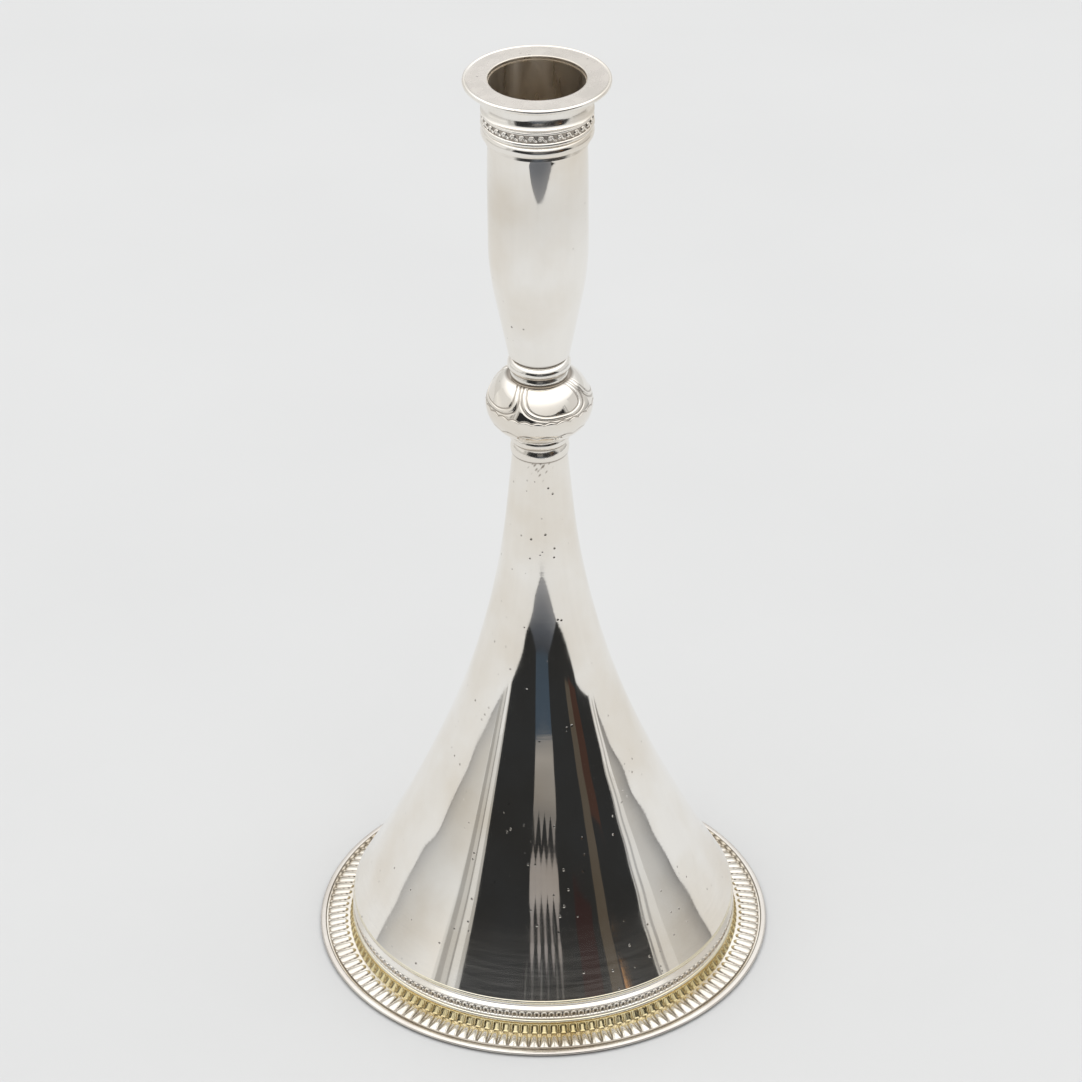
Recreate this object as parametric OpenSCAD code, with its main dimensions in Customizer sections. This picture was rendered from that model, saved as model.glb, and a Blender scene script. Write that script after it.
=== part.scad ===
// Altar candlestick: a trumpet-shaped bell foot on a fluted border, a chased knop
// between two turned collars, and a tapering candle socket under a flat drip pan.
// Every piece is a separate solid. A hidden stud, nut and washer draw the socket,
// the knop and the bell together. Units are millimetres, +Z is up, and the origin
// is the centre of the underside.

/* [Base] */
// Diameter of the whole base, over the rim wire
base_d = 115; // [100:1:140]
// Height of the stack of rings between the table and the edge of the bell
stack_h = 10.5; // [9:0.5:14]
// Radial width of the plain wire round the outside
rim_w = 1.6; // [1.2:0.1:2.4]
// Number of flutes round the border, which is also the number of tongues
flute_count = 130; // [60:2:160]
// Number of small arches in the arcaded band
arch_count = 166; // [60:2:180]

/* [Bell] */
// Outside diameter of the bell at its lower edge
bell_edge_d = 96.8; // [90:0.2:97]
// Height of the bell
bell_h = 130.5; // [110:0.5:160]
// Outside diameter of the bell's neck
bell_neck_d = 13.2; // [12:0.2:14]
// Wall of the bell, measured straight across
bell_wall = 0.9; // [0.7:0.1:1.2]

/* [Knop] */
// Largest diameter of the knop
knop_d = 25.8; // [22:0.2:32]
// Height of the knop between its two collars
knop_h = 15.1; // [13:0.1:15.6]
// Wall of the knop's two halves
knop_wall = 0.6; // [0.5:0.1:1]
// Height of each turned collar
collar_h = 6.1; // [5.6:0.1:8]

/* [Socket] */
// Bore of the candle socket, a loose fit for a 22 mm candle
candle_bore_d = 22.4; // [22.2:0.1:23]
// Wall of the candle socket
socket_wall = 0.6; // [0.5:0.1:0.8]
// Depth of the candle bore below the underside of the drip pan
bore_depth = 32.8; // [25:0.1:34]
// Outside diameter of the socket where it stands on its collar
socket_foot_d = 14.9; // [14.4:0.1:16]
// Height of the socket's tapering part
taper_h = 22.7; // [18:0.1:30]
// Height of the socket's straight part below its rings
tube_h = 33.5; // [28:0.1:60]

/* [Drip pan and its rings] */
// Diameter of the drip pan
pan_d = 34.4; // [30:0.1:40]
// Thickness of the drip pan at its edge
pan_t = 1.2; // [0.8:0.1:2]
// Diameter of the hole in the drip pan
pan_hole_d = 22.7; // [22.6:0.1:23.4]
// Diameter over the rings under the pan
ring_d = 26.3; // [26:0.1:27.4]
// Number of waves in the frieze
wave_count = 36; // [18:2:48]

/* [Tie rod] */
// Diameter of the stud
stud_d = 4; // [3:0.5:4]
// Diameter of the clearance holes for the stud
stud_hole_d = 4.3; // [4.2:0.1:4.6]
// Outside diameter of the spacer tube inside the knop
spacer_d = 6; // [5.6:0.2:7]
// Width of the nut across its flats
nut_flats = 7; // [6:0.5:7]
// Thickness of the nut
nut_t = 3.2; // [2.4:0.2:4]
// Outside diameter of the washer
washer_d = 9; // [8:0.5:10]
// Thickness of the washer
washer_t = 0.8; // [0.5:0.1:1.2]

/* [Hidden] */
$fn = 96;

silver = [0.83, 0.82, 0.79];
gilt = [0.83, 0.71, 0.42];
pale_gilt = [0.86, 0.80, 0.62];
tarnish = [0.42, 0.37, 0.30];
steel = [0.55, 0.56, 0.58];
slop = 1; // cutters reach past the faces they cut

// Levels of the stack, each as a share of its height
z_foot_top = 0.057 * stack_h;
z_border_top = 0.124 * stack_h;
z_tongue_top = 0.163 * stack_h;
z_flute_top = 0.349 * stack_h;
z_step_top = 0.459 * stack_h;
z_arcade_top = 0.707 * stack_h;
z_fillet_top = 0.871 * stack_h;

// Levels of the joints above the stack
z_neck = stack_h + bell_h;
z_knop_low = z_neck + collar_h;
z_knop_mid = z_knop_low + knop_h / 2;
z_knop_high = z_knop_low + knop_h;
z_socket = z_knop_high + collar_h;
z_bend = z_socket + taper_h;
z_rings = z_bend + tube_h;
torus_h = 3.9;
lower_wire_h = 1.3;
frieze_h = 1.75;
upper_wire_h = 0.85;
cove_h = 6.5;
z_lower_wire = z_rings + torus_h;
z_frieze = z_lower_wire + lower_wire_h;
z_upper_wire = z_frieze + frieze_h;
z_cove = z_upper_wire + upper_wire_h;
z_pan = z_cove + cove_h;

// Radii of the base
base_r = base_d / 2;
border_r = base_r - rim_w;
bell_edge_r = bell_edge_d / 2;
backing_r = bell_edge_r - 0.4;
backing_t = 0.7;
foot_inner_r = backing_r - 3;
arcade_r = bell_edge_r + 0.2;
step_r = bell_edge_r + 0.7;
flute_r = bell_edge_r + 1.5;
flute_depth = 0.35;
arch_r = 0.7;
arch_rise = 0.3;
tongue_start_r = flute_r + 0.6;
tongue_gap = 0.6;

// The bell's outline is one cubic curve, from its edge up to its neck
bell_steps = 24;
bush_steps = 2;
bell_curve = [[bell_edge_r, stack_h], [8.8, stack_h + 0.525 * bell_h],
    [9.3, stack_h + 0.822 * bell_h], [bell_neck_d / 2, z_neck]];
function cubic(p, t) = pow(1 - t, 3) * p[0] + 3 * t * pow(1 - t, 2) * p[1]
    + 3 * t * t * (1 - t) * p[2] + pow(t, 3) * p[3];
bell_outside = [for (i = [0:bell_steps]) cubic(bell_curve, i / bell_steps)];
bell_inside = [for (p = bell_outside) p - [bell_wall, 0]];
z_bush = bell_inside[bell_steps - bush_steps][1];

// The knop is a round-nosed ring: circular arcs about a ring of radius knop_ring_r
knop_flat_r = 7.5;
knop_reach = knop_d / 2 - knop_flat_r;
knop_arc_r = (knop_reach * knop_reach + knop_h * knop_h / 4) / (2 * knop_reach);
knop_ring_r = knop_d / 2 - knop_arc_r;
spacer_r = spacer_d / 2;

// The socket: a straight taper, a soft bend and a straight tube
bore_r = candle_bore_d / 2;
tube_r = bore_r + socket_wall;
socket_foot_r = socket_foot_d / 2;
taper_angle = atan2(tube_r - socket_foot_r, taper_h);
bend_r = 75;
bend_steps = 6;
bend_reach = bend_r * tan(taper_angle / 2);
z_cup_floor = z_pan - bore_depth;
cup_floor_t = 1;
ledge_w = 0.3; // the wall thickens below the bore, and its ledge carries the cup floor
lower_wall = socket_wall + ledge_w;
boss_h = 8;
boss_r = socket_foot_r - lower_wall;
bend_curve = [for (i = [0:bend_steps])
    let (a = taper_angle * (1 - i / bend_steps))
    [tube_r - bend_r * (1 - cos(a)), z_bend + bend_reach - bend_r * sin(a)]];
socket_outside = concat([[socket_foot_r, z_socket]], bend_curve, [[tube_r, z_pan]]);
ledge_r = bore_r - ledge_w;
socket_inside = concat([[boss_r, z_socket]], [for (p = bend_curve) p - [lower_wall, 0]],
    [[ledge_r, z_cup_floor], [bore_r, z_cup_floor], [bore_r, z_pan]]);

// Turned mouldings
ring_r = ring_d / 2;
collar_core_r = 6.62;
oval_steps = 16;
torus_bulge = 1.1;
torus_half_h = 1.5;
torus_sleeve_t = 0.35;
cove_r = 4.1;
cove_foot_r = 2.2; // the cove curves more tightly towards its foot
cove_turn = 21.5; // slope at which it starts to do so
cove_wall = 0.25; // metal left at the deepest point of the cove
fillet_drop = 0.35;
pan_r = pan_d / 2;
pan_lip_w = 0.9;
pan_edge_r = 0.2;
pan_dish = 0.15;
stud_r = stud_d / 2;
stud_overhang = 2.5;

// Points of a list, last first
function reversed(p) = [for (i = [len(p) - 1:-1:0]) p[i]];

// A solid of revolution from an outline of [radius, height] points
module lathe(outline) {
    rotate_extrude()
        polygon(outline);
}

// Points up the outside of an oval bead: centre [x, z], bulge a, half height b
function oval(x, z, a, b) = [for (i = [0:oval_steps])
    let (t = 180 * i / oval_steps - 90)
    [x + a * cos(t), z + b * sin(t)]];

// Points along an arc of radius r about c, on its side towards the axis
function hollow(c, r, from, to) = [for (i = [0:oval_steps])
    let (t = from + (to - from) * i / oval_steps)
    c - r * [cos(t), sin(t)]];

// A flat ring from z0 up to z1
module ring(inner, outer, z0, z1) {
    rotate_extrude()
        translate([inner, z0])
            square([outer - inner, z1 - z0]);
}

// A wire soldered round a band: flat behind, rounded in front
module half_round_wire(inner, outer, z0, z1) {
    h = z1 - z0;
    bulge = min(h / 2, 0.8 * (outer - inner));
    arc_r = (bulge * bulge + h * h / 4) / (2 * bulge);
    rotate_extrude() {
        translate([inner, z0])
            square([outer - bulge - inner, h]);
        intersection() {
            translate([outer - arc_r, z0 + h / 2])
                circle(arc_r);
            translate([inner, z0])
                square([outer - inner, h]);
        }
    }
}

module foot_ring() {
    color(silver)
        ring(foot_inner_r, border_r, 0, z_foot_top);
}

module rim_wire() {
    h = z_border_top;
    color(silver)
        rotate_extrude() {
            translate([border_r, 0])
                square([rim_w - h / 2, h]);
            intersection() {
                translate([base_r - h / 2, h / 2])
                    circle(d = h);
                translate([border_r, 0])
                    square([rim_w, h]);
            }
            translate([border_r, 0])
                square([rim_w - h / 4, h / 2]);
        }
}

// One tongue: round at both ends and wider towards the rim
module tongue_outline() {
    end_r = 0.42 * 360 / flute_count * PI / 180 * border_r;
    start_r = 0.62 * end_r;
    hull() {
        translate([tongue_start_r + start_r, 0])
            circle(start_r, $fn = 12);
        translate([border_r - tongue_gap - end_r, 0])
            circle(end_r, $fn = 16);
    }
}

module tongue_border() {
    color(silver) {
        ring(backing_r, border_r, z_foot_top, z_border_top);
        translate([0, 0, z_border_top])
            linear_extrude(z_tongue_top - z_border_top)
                for (i = [0:flute_count - 1])
                    rotate(360 / flute_count * i)
                        tongue_outline();
    }
}

// Flutes as a wavy outline, four points to a flute
module gilt_flute_band() {
    steps = 4 * flute_count;
    flutes = [for (i = [0:steps - 1])
        let (r = flute_r - flute_depth * [0, 0.35, 1, 0.35][i % 4], a = 360 * i / steps)
        [r * cos(a), r * sin(a)]];
    color(gilt)
        translate([0, 0, z_border_top])
            linear_extrude(z_flute_top - z_border_top)
                difference() {
                    polygon(flutes);
                    circle(backing_r);
                }
}

module plain_step_ring() {
    color(pale_gilt)
        half_round_wire(backing_r, step_r, z_flute_top, z_step_top);
}

module arcade_band() {
    z_mid = (z_step_top + z_arcade_top) / 2;
    color(silver) {
        ring(backing_r, arcade_r, z_step_top, z_arcade_top);
        for (i = [0:arch_count - 1])
            rotate([0, 90, 360 / arch_count * i])
                translate([-z_mid, 0, backing_r + 0.3])
                    cylinder(h = arcade_r + arch_rise - backing_r - 0.3, r = arch_r, $fn = 8);
    }
}

// A sloping shoulder under the bell's edge
module base_fillet_band() {
    color(silver)
        lathe([[backing_r, z_arcade_top], [bell_edge_r + 0.5, z_arcade_top],
            [bell_edge_r + 0.5, z_arcade_top + fillet_drop], [bell_edge_r - 0.2, z_fillet_top],
            [backing_r, z_fillet_top]]);
}

module bell_edge_wire() {
    color(pale_gilt)
        half_round_wire(backing_r, bell_edge_r + 0.2, z_fillet_top, stack_h);
}

module base_backing_band() {
    color(silver)
        ring(backing_r - backing_t, backing_r, z_foot_top, stack_h);
}

module bell() {
    color(silver)
        lathe(concat(bell_outside, reversed(bell_inside)));
}

module bell_neck_bush() {
    first = bell_steps - bush_steps;
    wall = [for (i = [first:bell_steps]) bell_inside[i]];
    color(tarnish)
        lathe(concat(wall, [[stud_hole_d / 2, z_neck], [stud_hole_d / 2, z_bush]]));
}

// Points up a round moulding of radius r whose crest is at [x, z], between two angles
function crest(x, z, r, from, to) = [for (i = [0:oval_steps])
    let (t = from + (to - from) * i / oval_steps)
    [x - r + r * cos(t), z + r * sin(t)]];

// A flattened band under a rounder bead, placed as shares of the collar's height
module lower_knop_collar() {
    z_band = z_neck + 0.172 * collar_h;
    z_bead = z_neck + 0.774 * collar_h;
    band_r = 3.95;
    color(silver)
        lathe(concat([[spacer_r, z_neck]],
            crest(bell_neck_d / 2 + 0.5, z_band, band_r, -asin((z_band - z_neck) / band_r), 34),
            crest(7.43, z_bead, 1.6, -50, 48),
            [[collar_core_r, z_knop_low], [spacer_r, z_knop_low]]));
}

// A band half sunk into the knop, a round bead, and a thin flange under the socket
module upper_knop_collar() {
    z_band = z_knop_high + 0.066 * collar_h;
    z_bead = z_knop_high + 0.5 * collar_h;
    band_r = 2.7;
    color(silver)
        lathe(concat([[spacer_r, z_knop_high]],
            crest(7, z_band, band_r, -asin((z_band - z_knop_high) / band_r), 27),
            crest(7.58, z_bead, 1.8, -44, 70),
            [[collar_core_r - 0.2, z_socket - 0.8], [socket_foot_r - 0.2, z_socket - 0.4],
            [socket_foot_r - 0.2, z_socket], [spacer_r, z_socket]]));
}

// The knop's outline on one side of the axis; inset shrinks it to the hollow
module knop_outline(inset) {
    half = knop_h / 2 - inset;
    translate([0, z_knop_mid])
        intersection() {
            union() {
                translate([knop_ring_r, 0])
                    circle(knop_arc_r - inset);
                translate([spacer_r, -half])
                    square([knop_ring_r - spacer_r, 2 * half]);
            }
            translate([spacer_r, -half])
                square([knop_d, 2 * half]);
        }
}

module knop_shell() {
    rotate_extrude()
        difference() {
            knop_outline(0);
            knop_outline(knop_wall);
        }
}

module knop_lower_half() {
    color(silver)
        difference() {
            knop_shell();
            translate([0, 0, z_knop_mid])
                cylinder(h = knop_h, r = knop_d);
        }
}

module knop_upper_half() {
    color(silver)
        difference() {
            knop_shell();
            translate([0, 0, z_knop_mid - knop_h])
                cylinder(h = knop_h, r = knop_d);
        }
}

module knop_spacer_tube() {
    color(steel)
        ring(stud_hole_d / 2, spacer_r, z_neck, z_socket);
}

module candle_socket() {
    color(silver)
        lathe(concat(socket_outside, reversed(socket_inside)));
}

module socket_boss() {
    top_r = boss_r + boss_h * tan(taper_angle);
    color(tarnish)
        lathe([[stud_r, z_socket], [boss_r, z_socket], [top_r, z_socket + boss_h],
            [stud_r, z_socket + boss_h]]);
}

module candle_cup_floor() {
    color(tarnish)
        translate([0, 0, z_cup_floor - cup_floor_t])
            cylinder(h = cup_floor_t, r = ledge_r);
}

module collar_torus_ring() {
    z_oval = z_lower_wire - torus_half_h - 0.05;
    color(silver)
        lathe(concat([[tube_r, z_rings], [tube_r + torus_sleeve_t, z_rings]],
            oval(ring_r - torus_bulge, z_oval, torus_bulge, torus_half_h),
            [[ring_r - torus_bulge, z_lower_wire], [tube_r, z_lower_wire]]));
}

module lower_frieze_wire() {
    color(silver)
        half_round_wire(tube_r, ring_r + 0.05, z_lower_wire, z_frieze);
}

module wave_frieze_band() {
    z_mid = (z_frieze + z_upper_wire) / 2;
    color(tarnish)
        ring(tube_r, ring_r - 0.25, z_frieze, z_upper_wire);
    color(silver)
        for (i = [0:wave_count - 1])
            rotate([0, 90, 360 / wave_count * i])
                translate([-z_mid, 0, tube_r + 0.5])
                    cylinder(h = ring_r - 0.05 - tube_r - 0.5, r = 0.62, $fn = 8);
}

module upper_frieze_wire() {
    color(silver)
        half_round_wire(tube_r, ring_r - 0.05, z_upper_wire, z_cove);
}

// A deep cove under the pan, round at its foot and shallower above
module neck_cove_ring() {
    foot_r = ring_r - 0.05;
    deep = [tube_r + cove_wall + cove_r, z_cove + 0.4 * cove_h];
    low = deep - (cove_r - cove_foot_r) * [cos(cove_turn), sin(cove_turn)];
    foot_turn = acos((low[0] - foot_r) / cove_foot_r);
    top_turn = -asin(0.6 * cove_h / cove_r);
    color(silver)
        lathe(concat([[tube_r, z_cove], [foot_r, z_cove]],
            hollow(low, cove_foot_r, foot_turn, cove_turn + 1),
            hollow(deep, cove_r, cove_turn, top_turn), [[tube_r, z_pan]]));
}

// A flat ring whose outer lip stands a little proud of its top
module drip_pan() {
    color(silver)
        rotate_extrude()
            translate([0, z_pan])
                polygon([[pan_hole_d / 2, 0], [pan_r - pan_edge_r, 0], [pan_r, pan_edge_r],
                    [pan_r, pan_t - pan_edge_r], [pan_r - pan_edge_r, pan_t],
                    [pan_r - pan_lip_w + pan_edge_r, pan_t],
                    [pan_r - pan_lip_w, pan_t - pan_dish],
                    [pan_hole_d / 2, pan_t - pan_dish]]);
}

module stem_stud() {
    low = z_bush - washer_t - nut_t - stud_overhang;
    color(steel)
        translate([0, 0, low])
            cylinder(h = z_socket + boss_h - low, r = stud_r);
}

module stem_washer() {
    color(steel)
        ring(stud_hole_d / 2, washer_d / 2, z_bush - washer_t, z_bush);
}

module stem_nut() {
    color(steel)
        translate([0, 0, z_bush - washer_t - nut_t])
            difference() {
                cylinder(h = nut_t, d = nut_flats / cos(30), $fn = 6);
                translate([0, 0, -slop])
                    cylinder(h = nut_t + 2 * slop, r = stud_r);
            }
}

foot_ring();
rim_wire();
tongue_border();
gilt_flute_band();
plain_step_ring();
arcade_band();
base_fillet_band();
bell_edge_wire();
base_backing_band();
bell();
bell_neck_bush();
lower_knop_collar();
knop_lower_half();
knop_upper_half();
upper_knop_collar();
knop_spacer_tube();
candle_socket();
socket_boss();
candle_cup_floor();
collar_torus_ring();
lower_frieze_wire();
wave_frieze_band();
upper_frieze_wire();
neck_cove_ring();
drip_pan();
stem_stud();
stem_washer();
stem_nut();
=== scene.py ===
"""Looks of the altar candlestick: fine turned meshes with real ornament, silver and gilt
materials, and a pale studio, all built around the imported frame. Outlines are in mm."""
import math
import bpy
import numpy as np
from mathutils import Matrix, Vector


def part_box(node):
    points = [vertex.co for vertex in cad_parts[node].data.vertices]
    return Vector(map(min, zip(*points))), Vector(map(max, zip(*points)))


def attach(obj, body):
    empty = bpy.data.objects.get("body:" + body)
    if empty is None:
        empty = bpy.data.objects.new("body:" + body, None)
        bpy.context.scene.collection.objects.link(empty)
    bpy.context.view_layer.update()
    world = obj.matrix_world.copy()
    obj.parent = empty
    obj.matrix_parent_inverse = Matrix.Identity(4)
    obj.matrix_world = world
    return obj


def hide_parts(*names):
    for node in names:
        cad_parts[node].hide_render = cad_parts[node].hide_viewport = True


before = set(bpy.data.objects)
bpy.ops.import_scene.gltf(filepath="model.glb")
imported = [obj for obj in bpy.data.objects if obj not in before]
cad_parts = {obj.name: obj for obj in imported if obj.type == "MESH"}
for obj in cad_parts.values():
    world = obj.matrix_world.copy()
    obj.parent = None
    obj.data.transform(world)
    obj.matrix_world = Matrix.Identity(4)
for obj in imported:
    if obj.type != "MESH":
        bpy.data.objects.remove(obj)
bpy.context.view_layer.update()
MM = 0.001
TAU = 2 * math.pi


# ---------------------------------------------------------------- sizes from the frame

def span(node):
    """Outer radius, lowest z and highest z of a CAD node, in mm."""
    low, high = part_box(node)
    return high[0] / MM, low[2] / MM, high[2] / MM


backing_r, _, stack_top = span("base_backing_band")
tube_r = span("candle_socket")[0]
backing_t = 0.7       # wall of the band behind the base's rings
foot_inner_r = 45.0
neck_r = 6.6          # outside radius of the bell's neck
bell_wall = 0.9
knop_flat_r = 7.5     # radius of the knop's flat ends
spacer_r = 3.0        # outside radius of the tube inside the knop and its collars
bore_r = 11.2         # candle bore
stud_hole_r = 2.15
flute_count = 130
arch_count = 166
wave_count = 36


# ---------------------------------------------------------------- outlines

def arc(center, radius, start, stop, steps=12):
    """Points on an arc, angles in degrees from +r towards +z."""
    angles = np.radians(np.linspace(start, stop, steps + 1))
    return [(center[0] + radius * math.cos(a), center[1] + radius * math.sin(a)) for a in angles]


def cubic(points, steps):
    """Points along one cubic Bezier curve."""
    p = np.array(points, float)
    t = np.linspace(0, 1, steps + 1)[:, None]
    curve = (1 - t) ** 3 * p[0] + 3 * t * (1 - t) ** 2 * p[1] + 3 * t * t * (1 - t) * p[2] + t ** 3 * p[3]
    return [tuple(q) for q in curve]


def soften(outline, radius, steps=4):
    """Rounds the corners of a closed outline whose turn is sharper than 15 degrees."""
    points = [np.array(p, float) for p in outline]
    result = []
    for i, corner in enumerate(points):
        before = points[i - 1] - corner
        after = points[(i + 1) % len(points)] - corner
        room = min(np.linalg.norm(before), np.linalg.norm(after)) / 2
        before /= np.linalg.norm(before)
        after /= np.linalg.norm(after)
        if np.dot(before, after) < -math.cos(math.radians(15)):
            result.append(tuple(corner))
            continue
        reach = min(radius, room * 0.95)
        first, last = corner + before * reach, corner + after * reach
        for t in np.linspace(0, 1, steps + 1):
            result.append(tuple((1 - t) ** 2 * first + 2 * t * (1 - t) * corner + t * t * last))
    return result


def dense(outline, step):
    """Splits the long edges of a closed outline so that relief has points to move."""
    result = []
    for i, p in enumerate(outline):
        q = outline[(i + 1) % len(outline)]
        count = max(1, int(math.dist(p, q) / step))
        for k in range(count):
            t = k / count
            result.append((p[0] + (q[0] - p[0]) * t, p[1] + (q[1] - p[1]) * t))
    return result


def oval(x, z, bulge, half_height):
    """Points up the outside of an oval bead."""
    turn = np.linspace(-math.pi / 2, math.pi / 2, 25)
    return [(x + bulge * math.cos(t), z + half_height * math.sin(t)) for t in turn]


def crest(x, z, radius, start, stop):
    """Points up a round moulding whose crest is at (x, z), between two angles."""
    return arc((x - radius, z), radius, start, stop, 20)


def box_outline(inner, outer, low, high):
    return [(inner, low), (outer, low), (outer, high), (inner, high)]


# ---------------------------------------------------------------- turned meshes

def turned(name, outline, segments, relief=None, sharp=40):
    """Revolves a closed, counter-clockwise outline. relief(angle, r, z) gives each point's
    shift along the outline's outward normal and how much painted shade and tarnish darken it, 0 to 1."""
    p = np.array(outline, float)
    ahead, behind = np.roll(p, -1, 0) - p, p - np.roll(p, 1, 0)
    ahead /= np.linalg.norm(ahead, axis=1, keepdims=True) + 1e-12
    behind /= np.linalg.norm(behind, axis=1, keepdims=True) + 1e-12
    tangent = ahead + behind
    tangent /= np.linalg.norm(tangent, axis=1, keepdims=True) + 1e-12
    normal = np.stack([tangent[:, 1], -tangent[:, 0]], 1)
    angle = np.arange(segments) * TAU / segments
    shift = np.zeros((segments, len(p)))
    shade_and_tarnish = np.zeros((segments, len(p)))
    if relief:
        shift, shade_and_tarnish = relief(angle[:, None], p[None, :, 0], p[None, :, 1])
        shift = np.broadcast_to(shift, (segments, len(p)))
        shade_and_tarnish = np.broadcast_to(shade_and_tarnish, (segments, len(p)))
    r = p[:, 0] + normal[:, 0] * shift
    z = p[:, 1] + normal[:, 1] * shift
    verts = np.stack([r * np.cos(angle)[:, None], r * np.sin(angle)[:, None], z], -1) * MM
    return grid_mesh(name, verts, shade_and_tarnish, sharp)


def grid_mesh(name, verts, shade_and_tarnish, sharp):
    """A mesh from a grid of points that closes on itself both ways."""
    nu, nv = verts.shape[:2]
    index = np.arange(nu * nv).reshape(nu, nv)
    right, up = np.roll(index, -1, 0), np.roll(index, -1, 1)
    corner = np.roll(right, -1, 1)
    quads = np.stack([index, right, corner, up], -1).reshape(-1, 4)
    mesh = bpy.data.meshes.new(name)
    mesh.vertices.add(nu * nv)
    mesh.vertices.foreach_set("co", verts.reshape(-1))
    mesh.loops.add(quads.size)
    mesh.loops.foreach_set("vertex_index", quads.reshape(-1))
    mesh.polygons.add(len(quads))
    mesh.polygons.foreach_set("loop_start", np.arange(0, quads.size, 4))
    mesh.update(calc_edges=True)
    mesh.validate()
    mesh.shade_smooth()
    mesh.set_sharp_from_angle(angle=math.radians(sharp))
    layer = mesh.attributes.new("shade_and_tarnish", "FLOAT", "POINT")
    layer.data.foreach_set("value", np.ascontiguousarray(shade_and_tarnish, dtype=np.float32).reshape(-1))
    piece = bpy.data.objects.new(name, mesh)
    bpy.context.collection.objects.link(piece)
    return piece


def add(piece, node, material):
    """Puts a finished piece on the object in place of a CAD node."""
    piece.data.materials.append(material)
    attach(piece, "root")
    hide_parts(node)


def color_where(piece, slot_index, test):
    """Gives the material at slot_index to the faces that pass test(radius, z, inward, up):
    where the face is in mm, whether it looks at the axis, and how far up it looks, -1 to 1."""
    mesh = piece.data
    count = len(mesh.polygons)
    centers, normals = np.empty(count * 3), np.empty(count * 3)
    mesh.polygons.foreach_get("center", centers)
    mesh.polygons.foreach_get("normal", normals)
    x, y, z = centers.reshape(-1, 3).T / MM
    normal_x, normal_y, up = normals.reshape(-1, 3).T
    chosen = test(np.hypot(x, y), z, normal_x * x + normal_y * y < 0, up)
    current = np.empty(count, dtype=np.int32)
    mesh.polygons.foreach_get("material_index", current)
    mesh.polygons.foreach_set("material_index", np.where(chosen, slot_index, current))
    mesh.update()


def waviness(amount, seed, reach):
    """Slow unevenness of hand-planished metal: a few long waves of random phase."""
    rng = np.random.default_rng(seed)
    waves = [(rng.integers(1, 6), rng.uniform(0.5, 2.2), rng.uniform(0, TAU), rng.uniform(0.4, 1))
             for _ in range(9)]

    def shift(angle, along):
        total = 0
        for turns, rise, phase, size in waves:
            total = total + size * np.sin(turns * angle + rise * along * TAU / reach + phase)
        return total * amount / len(waves)
    return shift


def uneven_outside(radius, amount, seed, reach):
    """Relief for a plain moulding: slow unevenness beyond a radius, and no painted shade or tarnish."""
    uneven = waviness(amount, seed, reach)
    return lambda angle, r, z: (uneven(angle, z) * (r > radius), 0 * r)


def turn_from(angle, azimuth):
    """The angle from a direction given in degrees, between -pi and pi."""
    return (angle - math.radians(azimuth) + math.pi) % TAU - math.pi


def groove(distance, width):
    """Depth from 0 to 1 of a round-bottomed cut whose centre line is this far away."""
    return np.clip(1 - (distance / width) ** 2, 0, 1)


def bump_between(x, low, high, edge):
    """1 between low and high, falling smoothly to 0 over the edge."""
    return np.clip((x - low) / edge, 0, 1) * np.clip((high - x) / edge, 0, 1)


# ---------------------------------------------------------------- materials

def new_material(name):
    material = bpy.data.materials.new(name)
    material.use_nodes = True
    nodes, links = material.node_tree.nodes, material.node_tree.links
    return material, nodes, links, nodes["Principled BSDF"]


def noise(nodes, links, scale, detail, stretch=(1, 1, 1)):
    """A noise texture in the object's own coordinates; stretch makes streaks."""
    coords = nodes.new("ShaderNodeTexCoord")
    mapping = nodes.new("ShaderNodeMapping")
    mapping.inputs["Scale"].default_value = stretch
    texture = nodes.new("ShaderNodeTexNoise")
    texture.inputs["Scale"].default_value = scale
    texture.inputs["Detail"].default_value = detail
    links.new(coords.outputs["Object"], mapping.inputs["Vector"])
    links.new(mapping.outputs["Vector"], texture.inputs["Vector"])
    return texture.outputs["Fac"]


def ramp(nodes, links, value, stops):
    """A colour ramp with (position, colour) stops."""
    node = nodes.new("ShaderNodeValToRGB")
    elements = node.color_ramp.elements
    while len(elements) < len(stops):
        elements.new(0.5)
    for element, (position, color) in zip(elements, stops):
        element.position = position
        element.color = (*color, 1)
    links.new(value, node.inputs["Fac"])
    return node.outputs["Color"]


def grey(value):
    return (value, value, value)


def mix(nodes, links, factor, first, second, blend="MIX"):
    node = nodes.new("ShaderNodeMix")
    node.data_type = "RGBA"
    node.blend_type = blend
    for socket, value in (("Factor", factor), ("A", first), ("B", second)):
        target = next(i for i in node.inputs if i.name == socket and i.enabled)
        if isinstance(value, (int, float)):
            target.default_value = value
        elif isinstance(value, tuple):
            target.default_value = (*value, 1)
        else:
            links.new(value, target)
    return next(o for o in node.outputs if o.enabled)


def specks(nodes, links, vector, scale, size, core, share):
    """Specks in a share of the cells of a Voronoi pattern, solid out to a share of their size."""
    cells = nodes.new("ShaderNodeTexVoronoi")
    cells.inputs["Scale"].default_value = scale
    links.new(vector, cells.inputs["Vector"])
    spot = ramp(nodes, links, cells.outputs["Distance"], [(size * core, grey(1)), (size, grey(0))])
    chosen = ramp(nodes, links, cells.outputs["Color"], [(share, grey(1)), (share + 0.02, grey(0))])
    return mix(nodes, links, 1.0, spot, chosen, "MULTIPLY")


def pits(nodes, links, scale, size, share):
    """Small round pits."""
    coords = nodes.new("ShaderNodeTexCoord")
    return specks(nodes, links, coords.outputs["Object"], scale, size, 0.5, share)


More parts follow.
